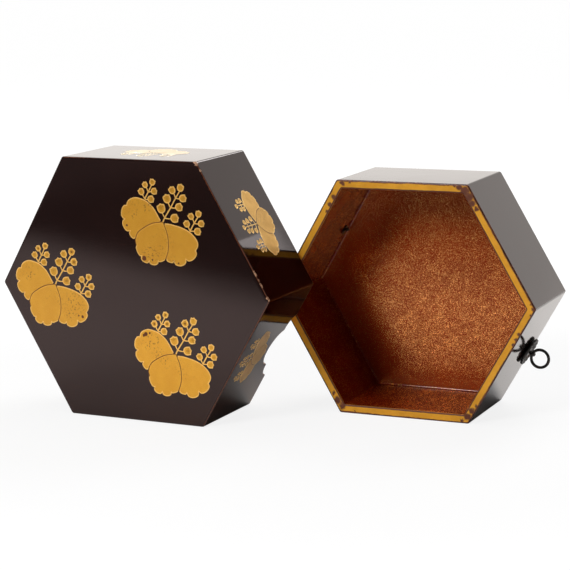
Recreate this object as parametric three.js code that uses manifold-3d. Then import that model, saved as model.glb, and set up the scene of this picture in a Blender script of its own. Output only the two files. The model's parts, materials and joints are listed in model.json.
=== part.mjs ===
// A hexagonal lacquer box and its deep lid, both standing on a flat side.
// The lid is taken off and set beside the box.
// Millimetres, +Z up. The box's mouth and the lid's top both face -Y.
import * as THREE from "three";
import { mergeVertices } from "three/addons/utils/BufferGeometryUtils.js";
import Module from "manifold-3d";

const wasm = await Module();
wasm.setup();

// Box
const boxFlats = 236; // outside, flat to flat
const boxHeight = 101; // base to mouth
const boxWall = 8.8;
const baseThickness = 8;
const rebateDepth = 4.4; // how far the base board is let into the walls

// Lid
const lidClearance = 2.2; // all round, lid inside to box outside
const lidWall = 11;
const lidHeight = 100; // rim to top face
const lidTop = 9;

// Joinery and lacquered edges
const glueLine = 0.2;
const cornerRound = 3;
const rimRound = 1.1;
const topRound = 3.2;
const hiddenRound = 0.4; // corner radius of edges that butt on another board

// Where the lid stands: its rim is in front of the box's left corner, turned a little away from square
const lidOverlap = 43.8; // how far the lid's right corner reaches past the box's left corner
const lidStandOff = 1.75; // rim to mouth, at the box's left corner
const lidTurnDegrees = -1.8;

// Ring fittings, one on each of two opposite walls
const fittingHeight = 19.5; // above the base, to the fitting's axis
const flowerRadius = 15;
const flowerHeight = 3.4;
const flowerPetals = 16;
const flowerPlate = 1.1;
const flowerSeat = 8.5; // radius of the flat that bears on the wall
const petalNotch = 0.9; // how far the rim draws in between two petals
const petalCrown = 0.45; // how far a petal's middle stands above its edges
const seatRadius = 5.4;
const seatThickness = 1;
const seatEase = 0.5; // chamfer round its upper edge
const ringRadius = 9; // to the middle of the wire
const ringWire = 1.2; // radius of the wire
const ringPlay = 0.6; // radial, ring wire in the eye
const pinThickness = 1.4;
const pinWidth = 2.6;
const pinEase = 0.28; // small bevel along the strip's edges
const pinLegs = 0.3; // gap between the two legs
const pinHoleRadius = 2.5;
const pinNeck = 1.3; // bend radius under the eye
const clinchReach = 7.5;
const innerWasherRadius = 5.5;
const innerWasherThickness = 0.8;
const innerWasherEase = 0.27;
const seatGap = 0.3; // between metal pieces laid on one another, or on the wall

// Cut-outs in the lid's rim that pass round the fittings
const notchClearance = 6.4; // arch to flower washer
const notchCuspDegrees = 11; // above level, from the arch's centre to where it meets a lobe
const notchLobe = 17; // width of the low lobe on each side of the arch
const notchLobeLean = 4;

// Facets
const cornerSteps = 4;
const roundSteps = 3;
const petalSteps = 4;
const flowerSteps = 6; // from the flower washer's hole to its rim
const washerSteps = 36;
const holeSteps = 20;
const notchSteps = 14;
const bendSteps = 8;
const ringSteps = 40;
const wireSteps = 10;
const cut = 1; // how far a cutter runs past what it cuts
const overlap = 0.01; // how far two cutters that are joined run into each other

// Derived sizes
const boxApothem = boxFlats / 2;
const boxInside = boxApothem - boxWall;
const lidInside = boxApothem + lidClearance;
const lidApothem = lidInside + lidWall;
const lidDepth = lidHeight - lidTop;
const plinth = boxHeight - lidDepth; // what a closed lid leaves bare of the box
const boxCorner = boxApothem / Math.cos(Math.PI / 6);
const lidCorner = lidApothem / Math.cos(Math.PI / 6);
const notchArch = flowerRadius + notchClearance;
const notchCentre = fittingHeight - plinth; // above the lid's rim, level with the fitting
const eyeHole = ringWire + ringPlay;
const seatLow = flowerPlate + 2 * seatGap; // the seat washer's underside above the wall
const legMiddle = (pinThickness + pinLegs) / 2;
const eyeMiddle = eyeHole + pinThickness / 2;
const neckDrop = Math.sqrt((eyeMiddle + pinNeck) ** 2 - (legMiddle + pinNeck) ** 2);
const eyeHeight = seatLow + seatThickness + seatGap + neckDrop; // eye's centre above the wall

// A ring folds down on either side until its wire lies on the flower washer's rim.
const rimCrossing = flowerRadius ** 2 / (2 * ringRadius);
const rimTop = flowerHeight + seatGap;
const ringFold = Math.PI / 2 + Math.asin((eyeHeight - rimTop - ringWire - seatGap) / rimCrossing);

const wallAngles = {
  upper_right: 30,
  top: 90,
  upper_left: 150,
  lower_left: 210,
  bottom: 270,
  lower_right: 330,
};
const fittedWalls = { right: "lower_right", left: "upper_left" };

// Materials
const lacquer = new THREE.MeshStandardMaterial({ color: 0x1d1416, roughness: 0.16, metalness: 0 });
const nashiji = new THREE.MeshStandardMaterial({ color: 0x6b2e12, roughness: 0.3, metalness: 0.2 });
const bronze = new THREE.MeshStandardMaterial({ color: 0x1a1816, roughness: 0.45, metalness: 0.8 });

// Booleans
function solidOf(geometry) {
  const bare = geometry.index ? geometry.toNonIndexed() : geometry.clone();
  for (const name of Object.keys(bare.attributes)) {
    if (name !== "position") bare.deleteAttribute(name);
  }
  const merged = mergeVertices(bare, 1e-4);
  return new wasm.Manifold(
    new wasm.Mesh({
      numProp: 3,
      vertProperties: merged.attributes.position.array,
      triVerts: new Uint32Array(merged.index.array),
    }),
  );
}

function geometryOf(solid) {
  const mesh = solid.getMesh();
  const geometry = new THREE.BufferGeometry();
  geometry.setAttribute("position", new THREE.BufferAttribute(new Float32Array(mesh.vertProperties), 3));
  geometry.setIndex(new THREE.BufferAttribute(new Uint32Array(mesh.triVerts), 1));
  const flat = geometry.toNonIndexed();
  flat.computeVertexNormals();
  return flat;
}

function meshOf(name, solid, material) {
  const mesh = new THREE.Mesh(geometryOf(solid), material);
  mesh.name = name;
  return mesh;
}

// A closed skin over rings that all have the same number of points, capped at both ends.
function skin(rings) {
  const count = rings[0].length;
  const positions = rings.flat().flatMap((p) => [p.x, p.y, p.z]);
  const index = [];
  for (let r = 0; r + 1 < rings.length; r++) {
    for (let i = 0; i < count; i++) {
      const a = r * count + i;
      const b = r * count + ((i + 1) % count);
      index.push(a, b, b + count, a, b + count, a + count);
    }
  }
  const last = (rings.length - 1) * count;
  for (let i = 1; i + 1 < count; i++) {
    index.push(0, i + 1, i);
    index.push(last, last + i, last + i + 1);
  }
  const geometry = new THREE.BufferGeometry();
  geometry.setAttribute("position", new THREE.Float32BufferAttribute(positions, 3));
  geometry.setIndex(index);
  return geometry;
}

// One hexagon with rounded corners, flat sides facing 30, 90, 150 ... degrees.
function hexagon(apothem, round, z) {
  const points = [];
  const reach = (apothem - round) / Math.cos(Math.PI / 6);
  for (let corner = 0; corner < 6; corner++) {
    const middle = (corner * Math.PI) / 3;
    for (let i = 0; i <= cornerSteps; i++) {
      const a = middle + (i / cornerSteps - 0.5) * (Math.PI / 3);
      points.push(
        new THREE.Vector3(
          reach * Math.cos(middle) + round * Math.cos(a),
          reach * Math.sin(middle) + round * Math.sin(a),
          z,
        ),
      );
    }
  }
  return points;
}

// A hexagonal prism between two heights. topEase rounds its upper edge, and a negative one flares it.
function prism(apothem, round, low, high, topEase = 0) {
  const rings = [hexagon(apothem, round, low)];
  if (topEase === 0) {
    rings.push(hexagon(apothem, round, high));
    return solidOf(skin(rings));
  }
  const size = Math.abs(topEase);
  for (let i = 0; i <= roundSteps; i++) {
    const a = ((i / roundSteps) * Math.PI) / 2;
    const inset = Math.sign(topEase) * size * (1 - Math.cos(a));
    const z = high - size + size * Math.sin(a);
    rings.push(hexagon(apothem - inset, Math.max(round - inset, hiddenRound), z));
  }
  return solidOf(skin(rings));
}

// The prism that goes through a mouth: straight, then flared by the rim's rounding, then on past the rim.
function mouthCutter(apothem, low, rim) {
  const flare = prism(apothem, hiddenRound, low, rim, -rimRound);
  const above = prism(apothem + rimRound, hiddenRound + rimRound, rim - overlap, rim + cut);
  return flare.add(above);
}

// The sixth of the ring of walls that one board fills, mitred on both ends with half a glue line left off each.
function mitreWedge(angle, reach, low, high) {
  const apex = glueLine / 2 / Math.sin(Math.PI / 6);
  const far = 2 * reach;
  const half = (far - apex) * Math.tan(Math.PI / 6);
  const shape = new THREE.Shape();
  shape.moveTo(apex, 0);
  shape.lineTo(far, -half);
  shape.lineTo(far, half);
  shape.closePath();
  const geometry = new THREE.ExtrudeGeometry(shape, { depth: high - low, bevelEnabled: false });
  geometry.translate(0, 0, low);
  geometry.rotateZ(THREE.MathUtils.degToRad(angle));
  return solidOf(geometry);
}

// Puts something drawn in a wall's own axes on that wall: x along the wall, y up it, z out of it.
function placeOnWall(object, apothem, angle, height) {
  const a = THREE.MathUtils.degToRad(angle);
  const out = new THREE.Vector3(Math.cos(a), Math.sin(a), 0);
  const up = new THREE.Vector3(0, 0, 1);
  const along = new THREE.Vector3().crossVectors(up, out);
  const basis = new THREE.Matrix4().makeBasis(along, up, out);
  basis.setPosition(out.x * apothem, out.y * apothem, height);
  object.applyMatrix4(basis);
  return object;
}

function boxBoards() {
  const boards = new THREE.Group();
  const shell = prism(boxApothem, cornerRound, 0, boxHeight, rimRound)
    .subtract(mouthCutter(boxInside, baseThickness - cut, boxHeight))
    .subtract(prism(boxInside + rebateDepth, hiddenRound, -cut, baseThickness));
  for (const [place, angle] of Object.entries(wallAngles)) {
    let board = shell.intersect(mitreWedge(angle, boxApothem, -cut, boxHeight + cut));
    if (Object.values(fittedWalls).includes(place)) {
      const drill = new THREE.CylinderGeometry(pinHoleRadius, pinHoleRadius, 2 * boxWall, holeSteps);
      drill.rotateX(Math.PI / 2).translate(0, 0, -boxWall / 2);
      board = board.subtract(solidOf(placeOnWall(drill, boxApothem, angle, fittingHeight)));
    }
    boards.add(meshOf("box_wall_" + place, board, lacquer));
  }
  const base = prism(boxInside + rebateDepth - glueLine, hiddenRound, 0, baseThickness - glueLine);
  boards.add(meshOf("box_base_board", base, nashiji));
  return boards;
}

// Half the outline of a cut-out, mirrored: a round arch level with the fitting and a low lobe on each side.
function notchCutter() {
  const cusp = THREE.MathUtils.degToRad(notchCuspDegrees);
  const cuspX = notchArch * Math.cos(cusp);
  const cuspY = notchCentre + notchArch * Math.sin(cusp);
  const foot = cuspX + notchLobe;
  const shape = new THREE.Shape();
  shape.moveTo(-foot, -cut);
  shape.lineTo(foot, -cut);
  shape.lineTo(foot, 0);
  shape.quadraticCurveTo(foot - notchLobeLean, cuspY, cuspX, cuspY);
  shape.absarc(0, notchCentre, notchArch, cusp, Math.PI - cusp, false);
  shape.quadraticCurveTo(notchLobeLean - foot, cuspY, -foot, 0);
  shape.closePath();
  const geometry = new THREE.ExtrudeGeometry(shape, {
    depth: lidWall + 2 * cut,
    bevelEnabled: false,
    curveSegments: notchSteps,
  });
  return geometry.translate(0, 0, -lidWall - cut);
}

// Upright, rim at z = 0 and top face at z = lidHeight.
function lidBoards() {
  const boards = new THREE.Group();
  const wallTop = lidDepth - glueLine;
  const mouth = prism(lidInside, hiddenRound, -cut, lidHeight);
  const rimEase = prism(lidApothem, cornerRound, -lidDepth, 0, rimRound).mirror([0, 0, 1]);
  const shell = prism(lidApothem, cornerRound, rimRound, wallTop)
    .add(rimEase.intersect(prism(lidApothem + cut, cornerRound, -cut, 2 * rimRound)))
    .subtract(mouth);
  for (const [place, angle] of Object.entries(wallAngles)) {
    let board = shell.intersect(mitreWedge(angle, lidApothem, -cut, lidHeight));
    if (Object.values(fittedWalls).includes(place)) {
      board = board.subtract(solidOf(placeOnWall(notchCutter(), lidApothem, angle, 0)));
    }
    boards.add(meshOf("lid_wall_" + place, board, lacquer));
  }
  const top = prism(lidApothem, cornerRound, lidDepth, lidHeight, topRound);
  boards.add(meshOf("lid_top_board", top, lacquer));
  return boards;
}

// Height of the flower washer's underside at a radius: flat where it bears on the wall, then cupped outwards.
function flowerRise(radius) {
  const t = Math.max(0, (radius - flowerSeat) / (flowerRadius - flowerSeat));
  return (flowerHeight - flowerPlate) * Math.sin((t * Math.PI) / 2);
}

function flowerWasher() {
  const around = flowerPetals * petalSteps;
  // Rows from the hole to the rim, closer together towards the rim, where the washer is cupped
  const shares = Array.from({ length: flowerSteps + 1 }, (_, i) => Math.sin((i / flowerSteps) * (Math.PI / 2)));
  const rowOf = (share, top) =>
    Array.from({ length: around }, (_, i) => {
      const a = (i / around) * 2 * Math.PI;
      const petal = Math.abs(Math.sin((flowerPetals * a) / 2));
      const rim = flowerRadius - petalNotch * (1 - petal);
      const radius = pinHoleRadius + share * (rim - pinHoleRadius);
      const crown = top ? petalCrown * petal * Math.min(1, 2 * share) : 0;
      const z = flowerRise(radius) + (top ? flowerPlate + crown - petalCrown : 0);
      return new THREE.Vector3(radius * Math.cos(a), radius * Math.sin(a), z);
    });
  const under = shares.map((share) => rowOf(share, false));
  const over = shares.map((share) => rowOf(share, true)).reverse();
  return closedRing([...under, ...over]).translate(0, 0, seatGap);
}

// A body with a hole: each row of points is a loop round the hole, and the last row joins the first.
function closedRing(rows) {
  const count = rows[0].length;
  const positions = rows.flat().flatMap((p) => [p.x, p.y, p.z]);
  const index = [];
  rows.forEach((_, r) => {
    const next = (r + 1) % rows.length;
    for (let i = 0; i < count; i++) {
      const j = (i + 1) % count;
      index.push(r * count + i, r * count + j, next * count + j);
      index.push(r * count + i, next * count + j, next * count + i);
    }
  });
  const geometry = new THREE.BufferGeometry();
  geometry.setAttribute("position", new THREE.Float32BufferAttribute(positions, 3));
  geometry.setIndex(index);
  return geometry;
}

// A flat ring turned from a closed profile, with its axis along z.
function turnedWasher(outer, inner, thickness, ease) {
  const profile = [
    [inner, 0],
    [outer, 0],
    [outer, thickness - ease],
    [outer - ease, thickness],
    [inner, thickness],
    [inner, 0],
  ].map(([x, y]) => new THREE.Vector2(x, y));
  return new THREE.LatheGeometry(profile, washerSteps).rotateX(Math.PI / 2);
}

// The split pin is one strip bent double round the ring: its eye, two legs through the wall,
// and each leg clinched over behind the inner washer.
function splitPin() {
  const clinchZ = -boxWall - innerWasherThickness - 2 * seatGap - pinThickness / 2;
  const bend = pinThickness;
  const neckAngle = Math.atan2(neckDrop, legMiddle + pinNeck);
  const line = new THREE.Path();
  line.moveTo(clinchReach, clinchZ);
  line.lineTo(legMiddle + bend, clinchZ);
  line.absarc(legMiddle + bend, clinchZ + bend, bend, -Math.PI / 2, -Math.PI, true);
  line.lineTo(legMiddle, eyeHeight - neckDrop);
  line.absarc(legMiddle + pinNeck, eyeHeight - neckDrop, pinNeck, Math.PI, Math.PI - neckAngle, true);
  line.absarc(0, eyeHeight, eyeMiddle, -neckAngle, Math.PI + neckAngle, false);
  line.absarc(-legMiddle - pinNeck, eyeHeight - neckDrop, pinNeck, neckAngle, 0, true);
  line.lineTo(-legMiddle, clinchZ + bend);
  line.absarc(-legMiddle - bend, clinchZ + bend, bend, 0, -Math.PI / 2, true);
  line.lineTo(-clinchReach, clinchZ);
  const middle = line.getPoints(bendSteps).filter((p, i, all) => i === 0 || p.distanceTo(all[i - 1]) > 1e-3);
  const side = (offset) =>
    middle.map((p, i) => {
      const before = middle[Math.max(i - 1, 0)];
      const after = middle[Math.min(i + 1, middle.length - 1)];
      const run = after.clone().sub(before).normalize();
      return new THREE.Vector2(p.x - run.y * offset, p.y + run.x * offset);
    });
  const half = pinThickness / 2 - pinEase;
  const outline = [...side(half), ...side(-half).reverse()];
  const geometry = new THREE.ExtrudeGeometry(new THREE.Shape(outline), {
    depth: pinWidth - 2 * pinEase,
    bevelEnabled: true,
    bevelThickness: pinEase,
    bevelSize: pinEase,
    bevelSegments: 1,
  });
  // The strip's outline lies in the wall's y and z, and its width runs along the wall.
  geometry.translate(0, 0, pinEase - pinWidth / 2);
  const turn = new THREE.Matrix4().makeBasis(
    new THREE.Vector3(0, 1, 0),
    new THREE.Vector3(0, 0, 1),
    new THREE.Vector3(1, 0, 0),
  );
  return geometry.applyMatrix4(turn);
}

// A ring hangs in its eye and swings about the wall's x: at 0 it stands straight out from the wall.
function ring(swing) {
  const geometry = new THREE.TorusGeometry(ringRadius, ringWire, wireSteps, ringSteps);
  geometry.rotateX(Math.PI / 2).translate(0, 0, ringRadius);
  return geometry.rotateX(swing).translate(0, 0, eyeHeight);
}

// The right ring hangs straight out and down. The left one has fallen over on its wall, towards the mouth.
const ringSwing = { right: 0, left: -ringFold };

function fitting(side) {
  const angle = wallAngles[fittedWalls[side]];
  const onTop = (geometry, z) => geometry.translate(0, 0, z);
  const pieces = {
    flower_washer: flowerWasher(),
    seat_washer: onTop(turnedWasher(seatRadius, pinHoleRadius, seatThickness, seatEase), seatLow),
    split_pin: splitPin(),
    inner_washer: onTop(
      turnedWasher(innerWasherRadius, pinHoleRadius, innerWasherThickness, innerWasherEase),
      -boxWall - seatGap - innerWasherThickness,
    ),
    ring: ring(ringSwing[side]),
  };
  const group = new THREE.Group();
  for (const [piece, geometry] of Object.entries(pieces)) {
    placeOnWall(geometry, boxApothem, angle, fittingHeight);
    group.add(meshOf(side + "_" + piece, solidOf(geometry), bronze));
  }
  return group;
}

// Upright, base at z = 0 and mouth at z = boxHeight.
function box() {
  const group = new THREE.Group();
  group.add(boxBoards(), fitting("right"), fitting("left"));
  return group;
}

// Tips an upright piece over so that its top faces -Y and it stands on its bottom wall.
// The plane at the given height, the box's mouth or the lid's rim, comes to y = 0.
function tippedOver(group, apothem, height) {
  group.rotation.x = Math.PI / 2;
  group.position.set(0, height, apothem);
  const stand = new THREE.Group();
  stand.add(group);
  return stand;
}

const pair = new THREE.Group();
const boxStand = tippedOver(box(), boxApothem, boxHeight);
const lidStand = tippedOver(lidBoards(), lidApothem, 0);
const lidTurn = THREE.MathUtils.degToRad(lidTurnDegrees);
const rimReach = lidCorner - lidOverlap; // along the rim, from its middle to the box's left corner
lidStand.rotation.z = lidTurn;
lidStand.position.set(
  -boxCorner - rimReach * Math.cos(lidTurn),
  -lidStandOff - rimReach * Math.sin(lidTurn),
  0,
);
pair.add(boxStand, lidStand);

// The origin lies under the middle of the pair, on the surface that both stand on.
const extent = new THREE.Box3().setFromObject(pair, true);
const centre = extent.getCenter(new THREE.Vector3());
pair.position.set(-centre.x, -centre.y, -extent.min.z);

const part = new THREE.Group();
part.add(pair);

export default part;
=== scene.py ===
import json
from collections import namedtuple
from math import asin, atan2, copysign, cos, exp, pi, radians, sin, tan

import bpy
from mathutils import Matrix, Vector


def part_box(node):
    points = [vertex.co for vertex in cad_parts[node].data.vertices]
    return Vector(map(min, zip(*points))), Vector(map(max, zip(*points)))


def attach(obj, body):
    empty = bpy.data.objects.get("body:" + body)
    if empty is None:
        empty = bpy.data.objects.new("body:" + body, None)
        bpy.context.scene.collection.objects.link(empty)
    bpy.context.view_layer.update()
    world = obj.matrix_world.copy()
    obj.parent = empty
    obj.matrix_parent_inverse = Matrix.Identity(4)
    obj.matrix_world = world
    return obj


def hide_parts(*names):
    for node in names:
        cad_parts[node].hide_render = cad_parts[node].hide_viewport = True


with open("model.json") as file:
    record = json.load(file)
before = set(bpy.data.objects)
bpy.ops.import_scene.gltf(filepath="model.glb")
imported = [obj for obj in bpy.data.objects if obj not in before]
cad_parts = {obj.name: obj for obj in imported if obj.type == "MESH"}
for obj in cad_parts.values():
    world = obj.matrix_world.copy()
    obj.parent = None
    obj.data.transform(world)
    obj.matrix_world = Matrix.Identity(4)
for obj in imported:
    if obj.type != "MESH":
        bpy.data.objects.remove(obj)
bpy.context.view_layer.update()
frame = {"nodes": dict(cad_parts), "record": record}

MM = 0.001
PLACES = {mount["name"]: mount["pos_m"] for mount in frame["record"]["mounts"]}
JOINTS = {joint["name"]: joint for joint in frame["record"]["behaviour"]["joints"]}

# The directions that the walls face in the photograph, in degrees
WALLS = dict(upper_right=30, top=90, upper_left=150, lower_left=210, bottom=270, lower_right=330)

# The turn from one wall to the next, and half of it
WALL_TURN, HALF_TURN = 60, 30

# Sizes of the shells, in millimetres
CORNER_ROUND = 3.0
RIM_ROUND = 1.1
TOP_ROUND = 1.6
BASE_ROUND = 0.7
FILLET = 1.6
INNER_CORNER = 1.2
LID_HEIGHT = 100.0
LID_TOP = 9.0
BASE_THICKNESS = 8.0
LACQUER_INSET = 0.2
SKIN = 0.05
NOTCH_ARCH = 21.4
NOTCH_CENTRE = 9.5
NOTCH_CUSP = 11.0
NOTCH_LOBE = 17.0
NOTCH_LEAN = 4.0
NOTCH_LIMIT = 2 / 3

# How far beyond a rounded place its wear or shine has faded out, and how far in a cap begins
RIM_FADE = 1.6
EDGE_FADE = 2.5
SHINE_FADE = 0.3
CAP_INSET = 3.0

# How far the even gilt of a rim stays from its inner and its outer round
BOX_GILT = (0.9, 1.8)
LID_GILT = (0.3, 0.5)

# How worn the edges are; the gilt's inner edge is more so in the upper share of its round
BASE_WORN = 0.8
RIM_WORN = 0.85
CORNER_WORN = 0.15
GILT_WORN = (0.8, 0.2)
GILT_UPPER = 0.6

# The wear beside a corner, by the distance from its round
BESIDE_CORNER = ((1e-3, 1.0), (0.8, 0.5), (3.0, 0.0))

# Material slots of the shells
LACQUER, GILT, SPRINKLED, LINING = range(4)

# Steps of the rounded places
CORNER_STEPS = 8
ROUND_STEPS = 5
ARCH_STEPS = 20
LOBE_STEPS = 8


def lerp(a, b, t):
    return a + (b - a) * t


def circle(steps):
    """Angles once round."""
    return [i / steps * 2 * pi for i in range(steps)]


def height_of(node):
    low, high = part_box(node)
    return (high[2] - low[2]) / MM


def upright(mount, turn, drop):
    """The own axes of the box or the lid: x and y as in the photograph, z from base or rim to the viewer."""
    place = Matrix.Translation(Vector(PLACES[mount])) @ Matrix.Rotation(turn, 4, "Z")
    return place @ Matrix.Rotation(pi / 2, 4, "X") @ Matrix.Translation((0, 0, drop))


LID_TURN = asin(JOINTS["lid_lift"]["axis"][0])
BOX_PLACE = upright("box_base", 0.0, 0.0)
LID_PLACE = upright("lid_top", LID_TURN, -LID_HEIGHT * MM)
BOX_HEIGHT = (PLACES["box_base"][1] - PLACES["box_mouth_rim"][1]) / MM
BOX_APOTHEM = PLACES["box_base"][2] / MM
LID_APOTHEM = PLACES["lid_top"][2] / MM
BOX_WALL = height_of("box_wall_top")
LID_WALL = height_of("lid_wall_top")


class Nodes:
    """A short way to write a material's or world's node tree."""

    def __init__(self, tree):
        self.tree = tree
        self.tree.nodes.clear()

    def add(self, kind, inputs=None, **settings):
        node = self.tree.nodes.new("ShaderNode" + kind)
        for name, value in settings.items():
            setattr(node, name, value)
        for name, value in (inputs or {}).items():
            self.put(node.inputs[name], value)
        return node

    def put(self, socket, value):
        """Link another node's output to a socket, or set a plain value on it."""
        if isinstance(value, bpy.types.NodeSocket):
            self.tree.links.new(value, socket)
        elif socket.type == "RGBA":
            socket.default_value = (*value, 1.0)
        else:
            socket.default_value = value

    def surface(self, inputs):
        for name, value in inputs.items():
            self.put(self.shader.inputs[name], value)

    def pair(self, node, a, b):
        self.put(node.inputs[0], a)
        self.put(node.inputs[1], b)
        return node.outputs

    def math(self, operation, a, b):
        return self.pair(self.add("Math", operation=operation), a, b)[0]

    def plus(self, a, b):
        return self.math("ADD", a, b)

    def minus(self, a, b):
        return self.math("SUBTRACT", a, b)

    def times(self, a, b):
        return self.math("MULTIPLY", a, b)

    def larger(self, a, b):
        return self.math("MAXIMUM", a, b)

    def vector(self, operation, a, b):
        outputs = self.pair(self.add("VectorMath", operation=operation), a, b)
        return outputs["Value" if operation == "DISTANCE" else "Vector"]

    def ramp(self, value, low, high, to_low=0.0, to_high=1.0):
        inputs = {"Value": value, "From Min": low, "From Max": high, "To Min": to_low, "To Max": to_high}
        return self.add("MapRange", inputs, interpolation_type="SMOOTHSTEP").outputs["Result"]

    def mix(self, share, a, b):
        return self.add("Mix", {"Factor": share, "A": a, "B": b}, data_type="RGBA").outputs["Result"]

    def blend(self, share, a, b):
        node = self.add("MixShader", {"Fac": share})
        self.put(node.inputs[1], a)
        self.put(node.inputs[2], b)
        return node.outputs[0]

    def noise(self, scale, detail=3.0, roughness=0.55, vector=None, output="Fac"):
        inputs = {"Vector": vector or self.here, "Scale": scale, "Detail": detail, "Roughness": roughness}
        return self.add("TexNoise", inputs).outputs[output]

    def cells(self, scale):
        return self.add("TexVoronoi", {"Vector": self.here, "Scale": scale}).outputs

    def attribute(self, name):
        return self.add("Attribute", attribute_name=name).outputs["Fac"]

    def channel(self, colour, name):
        return self.add("SeparateColor", {"Color": colour}).outputs[name]

    def tilted(self, random_colour, share, amount):
        """The surface's normal, leant at random by up to an amount where the share is 1."""
        centred = self.vector("SUBTRACT", random_colour, (0.5, 0.5, 0.5))
        lean = self.add("VectorMath", {"Scale": self.times(share, amount)}, operation="SCALE")
        self.put(lean.inputs[0], centred)
        straight = self.add("NewGeometry").outputs["Normal"]
        return self.vector("NORMALIZE", self.vector("ADD", straight, lean.outputs[0]), (0.0, 0.0, 0.0))

    def bump(self, height, strength, distance, normal=None):
        more = {"Normal": normal} if normal else {}
        inputs = {"Height": height, "Strength": strength, "Distance": distance, **more}
        return self.add("Bump", inputs).outputs["Normal"]

    def shining(self, kind, colour, strength):
        return self.add(kind, {"Color": colour, "Strength": strength}).outputs[0]

    def rays(self):
        """Whether a ray is the camera's, and whether it comes by way of gloss or glass."""
        path = self.add("LightPath").outputs
        return path["Is Camera Ray"], self.larger(path["Is Glossy Ray"], path["Is Transmission Ray"])


def material(name):
    made = bpy.data.materials.new(name)
    made.use_nodes = True
    nodes = Nodes(made.node_tree)
    nodes.here = nodes.add("TexCoord").outputs["Object"]
    nodes.shader = nodes.add("BsdfPrincipled")
    nodes.output = nodes.add("OutputMaterial", {"Surface": nodes.shader.outputs["BSDF"]})
    return made, nodes


def spots(nodes, places, level, grain, ragged, core=0.72):
    """How strongly a point lies in one of the worn spots, each an (x, y, radius) at a level, in millimetres.

    A spot is whole within the core, a share of its radius."""
    warp = nodes.vector("SUBTRACT", nodes.noise(grain, output="Color"), (0.5, 0.5, 0.5))
    moved = nodes.vector("ADD", nodes.here, nodes.vector("MULTIPLY", warp, (2.0 * ragged,) * 3))
    total = 0.0
    for x, y, radius in places:
        away = nodes.vector("DISTANCE", moved, (x * MM, y * MM, level * MM))
        total = nodes.larger(total, nodes.ramp(away, radius * MM, radius * MM * core))
    return total


# Finishes
def black_lacquer(name="black_lacquer", chips=()):
    """Polished black lacquer, a brown tinge in it, rubbed to its red ground along the worn edges."""
    made, n = material(name)
    colour = n.mix(n.ramp(n.noise(9.0, 4.0), 0.35, 0.7), (0.0068, 0.0016, 0.0011), (0.0105, 0.0030, 0.0022))
    dust = n.cells(210.0)
    speck = n.ramp(dust["Distance"], 0.055, 0.03)
    mote = n.times(speck, n.ramp(n.channel(dust["Color"], "Red"), 0.90, 0.95))
    colour = n.mix(n.times(mote, 0.4), colour, (0.10, 0.075, 0.06))
    rub = n.noise(330.0, 4.0, 0.65)
    worn = n.plus(n.times(rub, 0.5), n.times(n.noise(42.0, 2.0), 0.75))
    red = n.ramp(n.times(n.attribute("edge"), worn), 0.34, 0.56)
    colour = n.mix(red, colour, n.mix(rub, (0.045, 0.010, 0.005), (0.22, 0.065, 0.025)))
    if chips:
        chip = spots(n, chips, CHIP_LEVEL, 420.0, 0.0014)
        wood = n.mix(n.ramp(n.noise(900.0), 0.35, 0.65), (0.20, 0.07, 0.03), (0.66, 0.40, 0.24))
        colour = n.mix(chip, colour, wood)
        red = n.larger(red, chip)
    stretched = n.add("Mapping", {"Vector": n.here, "Scale": (40, 900, 300), "Rotation": (0, 0, 0.6)})
    scratch = n.noise(1.0, 2.0, vector=stretched.outputs["Vector"])
    rough = n.plus(n.ramp(scratch, 0.45, 0.75, 0.07, 0.09), n.times(red, 0.32))
    wave = n.bump(n.noise(14.0, 2.0), 0.12, 0.0006)
    n.surface({
        "Base Color": colour,
        "Roughness": n.plus(rough, n.times(mote, 0.3)),
        "IOR": 1.5,
        "Specular Tint": (1.0, 0.78, 0.76),
        "Normal": n.bump(n.minus(mote, n.times(red, 0.6)), 0.25, 0.00008, wave),
    })
    return made


def sprinkled_lacquer():
    """Red-brown lacquer sprinkled with gold flakes and dust, under a satin clear coat."""
    made, n = material("gold_sprinkled_lacquer")
    cloud = n.noise(11.0)
    ground = n.mix(n.ramp(cloud, 0.3, 0.72), (0.210, 0.0165, 0.0020), (0.275, 0.0245, 0.0032))
    flakes = n.cells(2300.0)["Color"]
    dust = n.cells(4200.0)["Color"]
    picked = n.plus(n.channel(flakes, "Red"), n.times(n.noise(95.0, 2.0), 0.4))
    cover = n.larger(n.ramp(picked, 1.06, 1.12), n.ramp(n.channel(dust, "Green"), 0.84, 0.90))
    tint = n.mix(n.channel(flakes, "Blue"), (1.0, 0.34, 0.07), (1.0, 0.50, 0.15))
    n.surface({
        "Base Color": n.mix(cover, ground, tint),
        "Metallic": cover,
        "Roughness": n.ramp(n.channel(flakes, "Green"), 0.0, 1.0, 0.14, 0.24),
        "Normal": n.tilted(dust, cover, 0.09),
        "IOR": 1.45,
        "Specular IOR Level": 0.25,
        "Specular Tint": (1.0, 0.55, 0.35),
        "Coat Weight": 0.15,
        "Coat Roughness": 0.14,
        "Coat IOR": 1.45,
        "Coat Normal": n.bump(cloud, 0.1, 0.0004),
    })
    return made


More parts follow.
